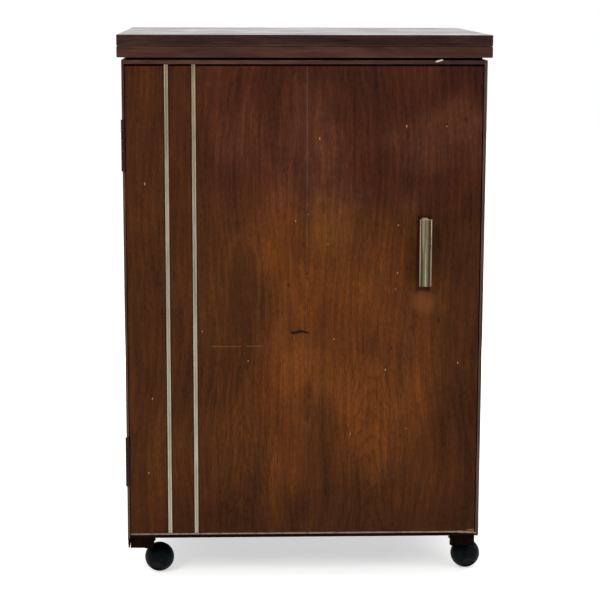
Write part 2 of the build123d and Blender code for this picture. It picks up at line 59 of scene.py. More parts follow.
FRONT_Y = low("door_panel").y
DOOR_LOW = low("door_panel")
DOOR_HIGH = high("door_panel")
DOOR_WIDTH = DOOR_HIGH.x - DOOR_LOW.x
DOOR_HEIGHT = DOOR_HIGH.z - DOOR_LOW.z
TABLE_LOW = low("table_top")
TABLE_HIGH = high("table_top")
LEAF_LOW = low("folding_leaf")
LEAF_HIGH = high("folding_leaf")
VENEER_JOINT = (DOOR_LOW.x + DOOR_HIGH.x) / 2 + 4 * MM
FIGURE_SPAN = 0.185 * DOOR_WIDTH
STRIPS = ("trim_strip_left", "trim_strip_right")
ORANGE_CAST = (1.0, 0.93, 0.74, 1.0)


def across_door(share):
    return DOOR_LOW.x + share * DOOR_WIDTH


def up_door(share):
    return DOOR_LOW.z + share * DOOR_HEIGHT


def on_door(across, up):
    """A point on the door's outer face, from shares of its width and height."""
    return (across_door(across), FRONT_Y, up_door(up))


def on_leaf(across, back):
    """A point on the leaf's upper face, from shares of its width and depth."""
    x = LEAF_LOW.x + across * (LEAF_HIGH.x - LEAF_LOW.x)
    y = LEAF_LOW.y + back * (LEAF_HIGH.y - LEAF_LOW.y)
    return (x, y, LEAF_HIGH.z)


# Colours ---------------------------------------------------------------------------------------

def srgb(red, green, blue):
    """A linear colour from ordinary 0 to 255 values."""
    linear = []
    for value in (red, green, blue):
        part = value / 255
        linear.append(part / 12.92 if part <= 0.04045 else ((part + 0.055) / 1.055) ** 2.4)
    return (*linear, 1.0)


# Node graphs -----------------------------------------------------------------------------------

class Graph:
    """A short way to write a material's nodes."""

    def __init__(self, name):
        self.material = bpy.data.materials.new(name)
        self.material.use_nodes = True
        self.tree = self.material.node_tree
        self.tree.nodes.clear()
        self.output = self.tree.nodes.new("ShaderNodeOutputMaterial")
        self.shader = self.tree.nodes.new("ShaderNodeBsdfPrincipled")
        self.tree.links.new(self.shader.outputs["BSDF"], self.output.inputs["Surface"])
        self.place = self.node("ShaderNodeTexCoord").outputs["Object"]

    def node(self, kind, **settings):
        made = self.tree.nodes.new(kind)
        for key, value in settings.items():
            setattr(made, key, value)
        return made

    def put(self, socket, value):
        if isinstance(value, bpy.types.NodeSocket):
            self.tree.links.new(value, socket)
        else:
            socket.default_value = value

    def set(self, **values):
        """Sets the shader's own sockets; an underscore stands for a space."""
        for key, value in values.items():
            self.put(self.shader.inputs[key.replace("_", " ")], value)

    def math(self, operation, first, second=0.0):
        made = self.node("ShaderNodeMath", operation=operation)
        self.put(made.inputs[0], first)
        self.put(made.inputs[1], second)
        return made.outputs[0]

    def vector(self, operation, first, second=(0, 0, 0)):
        made = self.node("ShaderNodeVectorMath", operation=operation)
        self.put(made.inputs[0], first)
        self.put(made.inputs[1], second)
        return made.outputs["Value"] if operation == "LENGTH" else made.outputs["Vector"]

    def scaled(self, scale, shift=(0, 0, 0), vector=None):
        moved = self.vector("ADD", vector or self.place, shift)
        return self.vector("MULTIPLY", moved, scale)

    def noise(self, vector, detail=2.0, roughness=0.5, distortion=0.0):
        made = self.node("ShaderNodeTexNoise")
        self.put(made.inputs["Vector"], vector)
        made.inputs["Scale"].default_value = 1.0
        made.inputs["Detail"].default_value = detail
        made.inputs["Roughness"].default_value = roughness
        made.inputs["Distortion"].default_value = distortion
        return made.outputs["Fac"]

    def spread(self, value, from_low, from_high, to_low=0.0, to_high=1.0, smooth=False):
        made = self.node("ShaderNodeMapRange", interpolation_type="SMOOTHSTEP" if smooth else "LINEAR")
        self.put(made.inputs["Value"], value)
        made.inputs["From Min"].default_value = from_low
        made.inputs["From Max"].default_value = from_high
        made.inputs["To Min"].default_value = to_low
        made.inputs["To Max"].default_value = to_high
        return made.outputs["Result"]

    def mix(self, share, first, second, blend="MIX"):
        made = self.node("ShaderNodeMix", data_type="RGBA", blend_type=blend, clamp_factor=True)
        self.put(made.inputs["Factor"], share)
        self.put(made.inputs[6], first)
        self.put(made.inputs[7], second)
        return made.outputs[2]

    def ramp(self, value, stops):
        made = self.node("ShaderNodeValToRGB")
        self.put(made.inputs["Fac"], value)
        elements = made.color_ramp.elements
        while len(elements) < len(stops):
            elements.new(0.5)
        for element, (position, colour) in zip(elements, stops):
            element.position = position
            element.color = colour
        return made.outputs["Color"]

    def axis(self, name, vector=None):
        made = self.node("ShaderNodeSeparateXYZ")
        self.put(made.inputs[0], vector or self.place)
        return made.outputs[name]

    def spot(self, centre, size, ragged=0.0, wander=0.0):
        """
        1 in the middle of an ellipsoid, falling smoothly to 0 at its edge.
        The edge may be ragged, or wander in and out.
        """
        local = self.vector("DIVIDE", self.vector("SUBTRACT", self.place, centre), size)
        distance = self.vector("LENGTH", local)
        if wander:
            slow = self.noise(self.scaled((17, 17, 11), centre), 4.0, 0.6)
            distance = self.math("ADD", distance, self.spread(slow, 0.25, 0.75, -wander, wander))
        if ragged:
            rough = self.noise(self.scaled((700, 700, 260)), 2.0)
            distance = self.math("ADD", distance, self.math("MULTIPLY", rough, ragged))
        return self.spread(distance, 0.25 + ragged / 2, 1.0 + ragged / 2, 1.0, 0.0, smooth=True)

    def bump(self, height, strength, distance=0.001):
        made = self.node("ShaderNodeBump")
        made.inputs["Strength"].default_value = strength
        made.inputs["Distance"].default_value = distance
        self.put(made.inputs["Height"], height)
        self.tree.links.new(made.outputs["Normal"], self.shader.inputs["Normal"])


def along(axis, fine, coarse):
    """A scale that is coarse along the grain's axis and fine across it."""
    return tuple(coarse if name == axis else fine for name in "xyz")


# Materials -------------------------------------------------------------------------------------

def veneer(
    name, axis, dark, middle, light, gloss=0.4, specular=0.04, marks=None, seed=0.0, patches=0.26,
    warmth=0.8, joint=None, mottle=(34.0, 5.0), fleck_density=45.0, figure=0.14,
):
    """
    Lacquered veneer with its grain along one axis: soft patches, flowing figure, streaks, flecks and pores.
    Mottle is the patches' density across and along the grain. A greater fleck density gives shorter flecks.
    With a joint, the grain is book-matched: the same on both sides of that plane across X, mirrored.
    """
    g = Graph(name)
    shift = (seed, seed * 1.7, seed * 0.6)
    leaf = g.place
    if joint is not None:
        mirrored = g.node("ShaderNodeCombineXYZ")
        g.put(mirrored.inputs["X"], g.math("ABSOLUTE", g.math("SUBTRACT", g.axis("X"), joint)))
        g.put(mirrored.inputs["Y"], g.axis("Y"))
        g.put(mirrored.inputs["Z"], g.axis("Z"))
        leaf = mirrored.outputs[0]
    sway = g.noise(g.scaled(along(axis, 5.0, 2.2), shift, leaf), 2.0)
    warp = g.node("ShaderNodeCombineXYZ")
    swing = g.spread(sway, 0.0, 1.0, -0.04, 0.04)
    for socket, letter in zip(warp.inputs, "xyz"):
        g.put(socket, 0.0 if letter == axis else swing)
    grain = g.vector("ADD", g.vector("ADD", leaf, shift), warp.outputs[0])

    cloud = g.noise(g.scaled(along(axis, *mottle), shift), 4.0, 0.6)
    wide = g.noise(g.vector("MULTIPLY", grain, along(axis, 60.0, 3.6)), 3.0, 0.55)
    streak = g.noise(g.vector("MULTIPLY", grain, along(axis, 210.0, 7.0)), 4.0, 0.6)
    fibre = g.noise(g.scaled(along(axis, 900.0, 22.0), shift), 3.0, 0.65)
    fleck = g.noise(g.scaled(along(axis, 300.0, fleck_density), shift), 4.0, 0.65)
    rings = g.node("ShaderNodeTexWave", wave_type="RINGS", rings_direction="SPHERICAL")
    g.put(rings.inputs["Vector"], g.vector("MULTIPLY", grain, along(axis, 4.2, 0.55)))
    rings.inputs["Scale"].default_value = 8.0
    rings.inputs["Distortion"].default_value = 4.0
    rings.inputs["Detail"].default_value = 2.0
    rings.inputs["Detail Scale"].default_value = 1.4

    tone = g.math("ADD", g.math("MULTIPLY", g.spread(cloud, 0.32, 0.68), patches), 0.06)
    for layer, share in ((wide, figure), (streak, figure), (fibre, 0.12), (fleck, 0.14)):
        tone = g.math("ADD", tone, g.math("MULTIPLY", g.spread(layer, 0.34, 0.66), share))
    tone = g.math("ADD", tone, g.math("MULTIPLY", rings.outputs["Fac"], 0.06))
    colour = g.ramp(tone, [(0.15, dark), (0.5, middle), (0.85, light)])
    hue_scale = along(axis, 1.2 * mottle[0], mottle[1])
    hue = g.noise(g.scaled(hue_scale, (shift[2], shift[0], shift[1])), 4.0, 0.6)
    colour = g.mix(g.spread(hue, 0.35, 0.65, 0.0, warmth), colour, ORANGE_CAST, "MULTIPLY")

    pores = g.noise(g.scaled(along(axis, 1100.0, 60.0), shift), 2.0, 0.5)
    pore_share = g.spread(pores, 0.64, 0.74, 0.0, 0.40, smooth=True)
    colour = g.mix(pore_share, colour, tuple(0.5 * c for c in dark[:3]) + (1.0,))
    if marks:
        colour = marks(g, colour)
    g.set(Base_Color=colour)
    smear = g.noise(g.scaled((9, 9, 6), shift), 4.0, 0.6)
    g.set(Roughness=g.spread(smear, 0.3, 0.7, gloss - 0.05, gloss + 0.12))
    g.shader.inputs["Specular IOR Level"].default_value = specular
    relief = g.math("ADD", g.math("MULTIPLY", fibre, 0.6), g.math("MULTIPLY", wide, 0.4))
    g.bump(g.math("SUBTRACT", relief, pore_share), 0.12, 0.0004)
    return g.material


def tinted(g, colour, share, other, strength):
    """The colour, moved towards another one where share is 1."""
    return g.mix(g.math("MULTIPLY", share, strength), colour, other)


def toned(g, colour, share, factor):
    """The colour times a factor for red, green and blue where share is 1, so that its grain stays."""
    return g.mix(share, colour, g.vector("MULTIPLY", colour, factor))


def largest(g, shares):
    """The greatest of several shares at each point."""
    result = shares[0]
    for share in shares[1:]:
        result = g.math("MAXIMUM", result, share)
    return result


def near_line(g, axis, place, inner, outer):
    """1 within inner of a plane square to the axis, falling to 0 at outer."""
    away = g.math("ABSOLUTE", g.math("SUBTRACT", g.axis(axis), place))
    return g.spread(away, inner, outer, 1.0, 0.0, smooth=True)


def strewn_marks(g, count, narrowest, widest, seed):
    """Small ragged marks strewn over the door's face by a seeded draw."""
    draw = random.Random(seed)
    marks = []
    for _ in range(count):
        centre = on_door(draw.uniform(0.03, 0.97), draw.uniform(0.06, 0.92))
        half_width = draw.uniform(narrowest, widest)
        half_height = half_width * draw.uniform(0.8, 2.4)
        marks.append(g.spot(centre, (half_width, 0.02, half_height), ragged=0.5))
    return largest(g, marks)


def door_figure(g, colour):
    """The veneer's cathedral figure, alike on both sides of its joint, and a dark tongue on its left."""
    arch_curve = 8.0 * MM
    arch_density = 150.0
    tongue_width, tongue_rise = 24.0 * MM, 60.0 * MM
    u = g.math("ABSOLUTE", g.math("SUBTRACT", g.axis("X"), VENEER_JOINT))
    off = g.math("SUBTRACT", u, FIGURE_SPAN)
    ripple = g.noise(g.scaled((34, 34, 10)), 4.0, 0.6)
    bend = g.math("DIVIDE", g.math("POWER", off, 2.0), arch_curve)
    flow = g.math("ADD", g.math("ADD", g.axis("Z"), bend), g.spread(ripple, 0.2, 0.8, -0.060, 0.060))
    waves = g.spread(g.math("SINE", g.math("MULTIPLY", flow, arch_density)), 0.45, 1.0)
    low_down = g.spread(g.axis("Z"), up_door(0.50), up_door(0.30), 0.22, 1.0, smooth=True)
    near = g.spread(g.math("ABSOLUTE", off), 0.055, 0.10, 1.0, 0.0, smooth=True)
    share = g.math("MULTIPLY", g.math("MULTIPLY", waves, low_down), near)
    colour = tinted(g, colour, share, srgb(34, 16, 6), 0.38)

    tongue_x = VENEER_JOINT - FIGURE_SPAN
    across = g.math("DIVIDE", g.math("SUBTRACT", g.axis("X"), tongue_x), tongue_width)
    above = g.math("MAXIMUM", g.math("SUBTRACT", g.axis("Z"), up_door(0.56)), 0.0)
    rise = g.math("DIVIDE", above, tongue_rise)
    reach = g.math("SQRT", g.math("ADD", g.math("POWER", across, 2.0), g.math("POWER", rise, 2.0)))
    reach = g.math("ADD", reach, g.spread(ripple, 0.2, 0.8, -0.25, 0.25))
    fade = g.spread(g.axis("Z"), up_door(0.32), up_door(0.51), 0.0, 1.0, smooth=True)
    inside = g.math("MULTIPLY", g.spread(reach, 0.7, 1.05, 1.0, 0.0, smooth=True), fade)
    colour = tinted(g, colour, inside, srgb(44, 22, 11), 0.28)
    for radius, strength in ((1.0, 0.09), (1.5, 0.04)):
        away = g.math("ABSOLUTE", g.math("SUBTRACT", reach, radius))
        line = g.math("MULTIPLY", g.spread(away, 0.02, 0.13, 1.0, 0.0, smooth=True), fade)
        colour = tinted(g, colour, line, srgb(104, 66, 38), strength)
    glue = near_line(g, "X", VENEER_JOINT, 0.2 * MM, 1.2 * MM)
    glue = g.math("MULTIPLY", glue, g.spread(g.axis("Z"), up_door(0.61), up_door(0.78), 0.35, 1.0))
    return tinted(g, colour, glue, srgb(100, 70, 54), 0.34)


def door_patches(g, colour, factor, patches, wander):
    """Tones soft patches: shares of the door for place, half width and half height, then a strength."""
    for across, up, wide, tall, strength in patches:
        size = (wide * DOOR_WIDTH, 0.3, tall * DOOR_HEIGHT)
        share = g.math("MULTIPLY", g.spot(on_door(across, up), size, wander=wander), strength)
        colour = toned(g, colour, share, factor)
    return colour


def door_tones(g, colour):
    """Tones over the door: orange in the middle, a dull purple-red painted reflection above, pale patches of
    painted reflection, darker towards the left edge, painted shade towards the right edge and along the foot,
    and a pale orange spot below the pull.
    """
    inner_strip = high("trim_strip_right").x
    beside = g.spread(g.axis("X"), inner_strip - 10 * MM, inner_strip + 30 * MM, 0.45, 1.0)
    cloudy = g.noise(g.scaled((11, 11, 7)), 4.0, 0.6)
    height = g.math("ADD", g.axis("Z"), g.spread(cloudy, 0.25, 0.75, -0.06, 0.06))
    # Painted reflection: the upper part turns purple-grey, most of all right of the trim strips.
    upper = g.spread(height, up_door(0.61), up_door(0.81), 0.0, 0.85, smooth=True)
    colour = toned(g, colour, g.math("MULTIPLY", upper, beside), (0.80, 0.69, 1.46))
    # Painted shade: darker towards the door's right edge.
    side = g.math("ADD", g.axis("X"), g.spread(cloudy, 0.25, 0.75, -0.02, 0.02))
    right = g.spread(side, across_door(0.83), across_door(0.92), 0.0, 0.55, smooth=True)
    colour = toned(g, colour, right, (0.82, 0.78, 0.91))
    left = g.spread(g.axis("X"), across_door(0.25), across_door(0.13), 0.0, 0.28)
    colour = toned(g, colour, left, (0.80, 0.78, 0.84))
    colour = door_patches(g, colour, (1.66, 1.58, 1.34), [
        (0.45, 0.40, 0.12, 0.42, 0.95), (0.40, 0.70, 0.10, 0.17, 0.55), (0.67, 0.38, 0.27, 0.37, 0.84),
        (0.70, 0.25, 0.18, 0.17, 0.45), (0.85, 0.37, 0.07, 0.19, 0.45), (0.43, 0.11, 0.07, 0.13, 0.50),
        (0.30, 0.24, 0.14, 0.18, 0.50),
    ], wander=0.2)
    # Pale patches of painted reflection across the upper part.
    colour = door_patches(g, colour, (1.60, 1.85, 1.80), [
        (0.48, 0.81, 0.15, 0.19, 0.55), (0.59, 0.69, 0.13, 0.12, 0.60), (0.88, 0.85, 0.16, 0.10, 0.75),
        (0.80, 0.70, 0.04, 0.07, 0.70), (0.95, 0.90, 0.11, 0.07, 0.50), (0.31, 0.87, 0.10, 0.09, 0.30),
    ], wander=0.5)
    # Painted shade: darker along the door's foot.
    foot = g.math("ADD", g.axis("Z"), g.spread(cloudy, 0.25, 0.75, -0.05, 0.05))
    foot = g.spread(foot, up_door(0.17), up_door(0.02), 0.0, 0.70, smooth=True)
    colour = toned(g, colour, foot, (0.72, 0.70, 0.74))
    pull_x = (low("door_handle").x + high("door_handle").x) / 2
    glow = g.spot((pull_x, FRONT_Y, low("door_handle").z - 27 * MM), (0.021, 0.3, 0.020), wander=0.3)
    return tinted(g, colour, glow, srgb(108, 62, 30), 0.42)


def door_strip_dirt_and_shade(g, colour):
    """Dark lines along both sides of each trim strip, old polish in the joint and painted shadow of the gap,
    and a painted shadow round the pull, reaching furthest below it.
    """
    line = 2.2 * MM
    edges = []
    for strip in STRIPS:
        centre = (low(strip).x + high(strip).x) / 2
        half = (high(strip).x - low(strip).x) / 2
        edges.append(near_line(g, "X", centre, half, half + line))
    # Dark lines beside each strip: old polish in the joint and painted shadow of the gap.
    colour = tinted(g, colour, largest(g, edges), srgb(18, 9, 6), 0.85)
    # Painted shadow of the pull: from just left of it to past its right end, reaching furthest below it.
    pull_low, pull_high = low("door_handle"), high("door_handle")
    shade_x = g.spread(g.axis("X"), pull_low.x - 4 * MM, pull_low.x + 1 * MM, 0.0, 1.0, smooth=True)
    shade_end = g.spread(g.axis("X"), pull_high.x, pull_high.x + 2 * MM, 1.0, 0.0, smooth=True)
    middle = (pull_low.z + pull_high.z) / 2
    half = (pull_high.z - pull_low.z) / 2
    shade_z = near_line(g, "Z", middle - 4 * MM, half + 4 * MM, half + 9 * MM)
    shade = g.math("MULTIPLY", g.math("MULTIPLY", shade_x, shade_end), shade_z)
    return tinted(g, colour, shade, srgb(26, 10, 7), 0.70)


def door_damage(g, colour):
    """A few smudges, dark dents, chips that show pale wood, one dark wavy scratch and one faint pale one."""
    smudge = g.spread(g.noise(g.scaled((60, 60, 16)), 3.0, 0.6), 0.62, 0.75, 0.0, 1.0, smooth=True)
    colour = tinted(g, colour, smudge, srgb(44, 21, 11), 0.40)
    colour = tinted(g, colour, strewn_marks(g, 20, 1.4 * MM, 3.0 * MM, seed=11), srgb(34, 15, 8), 0.70)
    colour = tinted(g, colour, strewn_marks(g, 20, 1.0 * MM, 1.6 * MM, seed=23), srgb(168, 122, 84), 0.75)

    half_length, swing = 13.0 * MM, 1.1 * MM
    along_x = g.math("DIVIDE", g.math("SUBTRACT", g.axis("X"), VENEER_JOINT - 10 * MM), half_length)
    turn = g.math("SUBTRACT", g.math("MULTIPLY", along_x, 3.6), 0.5)
    crest = g.math("MULTIPLY", g.math("COSINE", turn), swing)
    height = g.math("SUBTRACT", g.math("SUBTRACT", g.axis("Z"), up_door(0.44)), crest)
    width = g.spread(along_x, 0.2, 1.0, 3.4 * MM, 2.0 * MM)
    height = g.math("DIVIDE", g.math("ABSOLUTE", height), width)
    scratch = g.spread(height, 0.30, 1.0, 1.0, 0.0, smooth=True)
    scratch = g.math("MULTIPLY", scratch, g.spread(g.math("ABSOLUTE", along_x), 0.92, 1.06, 1.0, 0.0))
    colour = tinted(g, colour, scratch, srgb(12, 8, 8), 0.92)

    faint = near_line(g, "Z", up_door(0.41), 0.3 * MM, 1.3 * MM)
    faint = g.math("MULTIPLY", faint, near_line(g, "X", across_door(0.31), 38 * MM, 42 * MM))
    faint = g.math("MULTIPLY", faint, g.spread(g.noise(g.scaled((90, 1, 1)), 1.0), 0.38, 0.46))
    return tinted(g, colour, faint, srgb(128, 90, 58), 0.28)


def door_marks(g, plain):
    """All the ageing on the door's outer face together with its painted shade, shadow and reflection, and the
    bare corner where its edging has come away.
    """
    colour = door_figure(g, plain)
    colour = door_tones(g, colour)
    colour = door_strip_dirt_and_shade(g, colour)
    colour = door_damage(g, colour)
    corner = g.spot((DOOR_HIGH.x - 4 * MM, FRONT_Y, DOOR_LOW.z), (0.011, 0.02, 0.0032), ragged=0.3)
    colour = tinted(g, colour, corner, srgb(120, 88, 50), 0.85)
    outer = g.spread(g.axis("Y"), FRONT_Y + 1.5 * MM, FRONT_Y + 0.5 * MM)
    return g.mix(outer, plain, colour)


def worn_edges(box_low, box_high, shade, width, strength):
    """Marks that rub the upper and lower edges of a board's upright faces through to another colour."""
    def marks(g, colour):
        z = g.axis("Z")
        upper = g.spread(z, box_high.z - width, box_high.z, 0.0, 1.0, smooth=True)
        lower = g.spread(z, box_low.z + width, box_low.z, 0.0, 1.0, smooth=True)
        broken = g.spread(g.noise(g.scaled((55, 30, 60)), 4.0, 0.7), 0.42, 0.62)
        facing = g.math("ABSOLUTE", g.axis("Z", g.node("ShaderNodeNewGeometry").outputs["Normal"]))
        upright = g.spread(facing, 0.6, 0.9, 1.0, 0.0)
        share = g.math("MULTIPLY", g.math("MAXIMUM", upper, lower), g.math("MULTIPLY", broken, upright))
        return tinted(g, colour, share, shade, strength)
    return marks


def rail_marks(g, colour):
    """The front rail: rubbed edges, and a painted shade that darkens it towards its right end."""
    rail_low, rail_high = low("top_rail_front"), high("top_rail_front")
    rubbed = worn_edges(rail_low, rail_high, srgb(122, 90, 74), 0.9 * MM, 0.5)(g, colour)
    # Painted shade: darker towards the rail's right end.
    right_end_shade = g.spread(g.axis("X"), across_door(0.40), across_door(0.88), 0.0, 1.0, smooth=True)
    return toned(g, rubbed, right_end_shade, (0.58, 0.61, 0.72))


def leaf_marks(g, colour):
    """The closed leaf: rubbed edges, paler wide faces, and a stain and a worn patch on the upper one."""
    colour = worn_edges(LEAF_LOW, LEAF_HIGH, srgb(92, 66, 58), 1.0 * MM, 0.35)(g, colour)
    face = g.spread(g.axis("Z"), LEAF_HIGH.z - 0.4 * MM, LEAF_HIGH.z - 0.1 * MM, 0.0, 1.0)
    under = g.spread(g.axis("Z"), LEAF_LOW.z + 0.4 * MM, LEAF_LOW.z + 0.1 * MM, 0.0, 1.0)
    colour = toned(g, colour, g.math("MAXIMUM", face, under), (2.6, 2.4, 2.0))
    stain = g.spot(on_leaf(0.19, 0.50), (0.009, 0.24, 0.05), wander=0.4)
    colour = tinted(g, colour, g.math("MULTIPLY", stain, face), srgb(150, 118, 78), 0.35)
    worn = g.spot(on_leaf(0.72, 0.94), (0.075, 0.03, 0.05), ragged=0.4)
    return tinted(g, colour, g.math("MULTIPLY", worn, face), srgb(96, 66, 50), 0.6)


def edging_glue_and_shade(g, colour):
    """Old glue and dirt along the edging's upper edge, and a painted shade along its lower edge."""
    z = g.axis("Z")
    top, foot = high("door_bottom_edging").z, low("door_bottom_edging").z
    upper = g.spread(z, top - 1.0 * MM, top - 0.6 * MM)
    lower = g.spread(z, foot + 0.75 * MM, foot + 0.35 * MM)
    colour = tinted(g, colour, upper, srgb(46, 26, 16), 0.85)
    # Painted shade along the edging's lower edge.
    return tinted(g, colour, lower, srgb(26, 15, 11), 0.90)


def side_marks(g, colour):
    """The side panels' front edges, stained a greyer brown than their faces."""
    front = g.spread(g.axis("Y"), FRONT_Y + 1.2 * MM, FRONT_Y + 0.4 * MM, 0.0, 1.0)
    cloudy = g.noise(g.scaled((200, 200, 9)), 3.0, 0.6)
    shade = g.ramp(cloudy, [(0.35, srgb(52, 36, 30)), (0.65, srgb(86, 66, 53))])
    return g.mix(front, colour, shade)


def strip_tarnish(g, colour):
    """Each trim strip is rubbed bright near its edges and dull along its middle."""
    middles = []
    for strip in STRIPS:
        centre = (low(strip).x + high(strip).x) / 2
        middles.append(near_line(g, "X", centre, 0.3 * MM, 1.5 * MM))
    cloudy = g.spread(g.noise(g.scaled((40, 40, 12)), 4.0, 0.6), 0.3, 0.6)
    return toned(g, colour, g.math("MULTIPLY", largest(g, middles), cloudy), (0.60, 0.60, 0.62))


def metal(name, base, deep, roughness, seed=0.0, grain=1.0, warm=None, marks=None):
    """
    Drawn or plated metal with fine upright lines and cloudy tarnish.
    Warm holds two heights and a colour: between those heights the metal turns to that colour.
    """
    g = Graph(name)
    shift = (seed, seed, seed)
    lines = g.noise(g.scaled(along("z", 1500.0, 6.0), shift), 3.0, 0.6)
    cloud = g.noise(g.scaled(along("z", 90.0, 14.0), shift), 4.0, 0.6)
    tone = g.math("ADD", g.math("MULTIPLY", lines, 0.45 * grain), g.math("MULTIPLY", cloud, 0.75))
    colour = g.ramp(tone, [(0.30, deep), (0.72, base)])
    if warm:
        upper = g.spread(g.axis("Z"), warm[0], warm[1], 0.0, 1.0, smooth=True)
        colour = tinted(g, colour, upper, warm[2], 0.65)
    if marks:
        colour = marks(g, colour)
    g.set(Base_Color=colour, Roughness=g.spread(cloud, 0.3, 0.7, roughness - 0.07, roughness + 0.1))
    g.shader.inputs["Metallic"].default_value = 1.0
    g.bump(lines, 0.12 * grain, 0.0002)
    return g.material


def pull_metal():
    """The pull: rubbed bright on its lips and tarnished in the flutes, with painted highlights on the left
    flank of its middle and the lower part of its rib, and a pale, non-metallic painted highlight on its
    upward end.
    """
    g = Graph("handle_metal")
    pull_low, pull_high = low("door_handle"), high("door_handle")
    lines = g.noise(g.scaled((1500.0, 1500.0, 7.0)), 3.0, 0.6)
    cloud = g.noise(g.scaled((160.0, 160.0, 26.0)), 4.0, 0.6)
    centre = (pull_low.x + pull_high.x) / 2
    half = (pull_high.x - pull_low.x) / 2
    side = g.math("DIVIDE", g.math("SUBTRACT", g.axis("X"), centre), half)
    side = g.math("ADD", side, g.spread(cloud, 0.2, 0.8, -0.05, 0.05))
    flute = srgb(64, 54, 38)
    colour = g.ramp(g.math("ABSOLUTE", side), [
        (0.10, srgb(112, 106, 84)), (0.46, srgb(92, 86, 66)), (0.56, flute), (0.72, flute),
        (0.80, srgb(148, 130, 112)),
    ])
    height = g.spread(g.axis("Z"), pull_low.z, pull_high.z, 0.0, 1.0)
    upper = g.spread(height, 0.3, 0.8, smooth=True)
    lip = g.spread(g.math("ABSOLUTE", side), 0.72, 0.80)
    colour = toned(g, colour, g.math("MULTIPLY", lip, g.spread(height, 0.5, 0.0)), (0.74, 0.72, 0.74))
    # Painted highlight on the left flank of the middle, in the upper part of the pull.
    lit_flank = g.spread(g.math("ABSOLUTE", g.math("ADD", side, 0.42)), 0.06, 0.22, 1.0, 0.0, smooth=True)
    colour = tinted(g, colour, g.math("MULTIPLY", lit_flank, upper), srgb(164, 146, 118), 0.9)
    # Painted highlight along the lower part of the rib.
    rib = g.spread(g.math("ABSOLUTE", side), 0.04, 0.11, 1.0, 0.0, smooth=True)
    lit_lower_rib = g.math("MULTIPLY", rib, g.math("SUBTRACT", 1.0, upper))
    colour = tinted(g, colour, lit_lower_rib, srgb(170, 160, 134), 0.95)
    colour = g.mix(g.spread(lines, 0.35, 0.65, 0.0, 0.35), colour, srgb(60, 50, 36))
    # Painted highlight: the upward-facing end turns pale and not metallic.
    facing = g.axis("Z", g.node("ShaderNodeNewGeometry").outputs["Normal"])
    ends = g.spread(facing, 0.5, 0.85)
    colour = g.mix(ends, colour, srgb(200, 178, 156))
    g.set(Base_Color=colour, Roughness=g.spread(cloud, 0.3, 0.7, 0.26, 0.42))
    g.set(Metallic=g.math("SUBTRACT", 1.0, ends))
    g.bump(lines, 0.14, 0.0002)
    return g.material


def plastic(name, base, scuffed, roughness, scale=60.0, strength=0.5, specular=0.3, marks=None):
    """Moulded plastic with scuffs and dust."""
    g = Graph(name)
    scuffs = g.noise(g.scaled((scale * 5, scale, scale * 3)), 5.0, 0.65, distortion=1.2)
    share = g.spread(scuffs, 0.48, 0.72, 0.0, strength)
    colour = g.mix(share, base, scuffed)
    if marks:
        colour = marks(g, colour)
    g.set(Base_Color=colour, Roughness=g.spread(scuffs, 0.3, 0.7, roughness - 0.05, roughness + 0.18))
    g.shader.inputs["Specular IOR Level"].default_value = specular
    pits = g.noise(g.scaled((900, 900, 900)), 2.0)
    g.bump(g.math("ADD", g.math("MULTIPLY", scuffs, 0.8), g.math("MULTIPLY", pits, 0.3)), 0.12, 0.0004)
    return g.material


def hardboard(name, base, deep):
    """Pressed fibre board: a fine mottle of short fibres."""
    g = Graph(name)
    mottle = g.noise(g.scaled((260, 260, 260)), 5.0, 0.7)
    cloud = g.noise(g.scaled((7, 7, 7)), 3.0, 0.6)
    tone = g.math("ADD", g.math("MULTIPLY", mottle, 0.6), g.math("MULTIPLY", cloud, 0.5))
    g.set(Base_Color=g.ramp(tone, [(0.34, deep), (0.74, base)]), Roughness=g.spread(cloud, 0, 1, 0.7, 0.9))
    g.bump(mottle, 0.25, 0.0005)
    return g.material


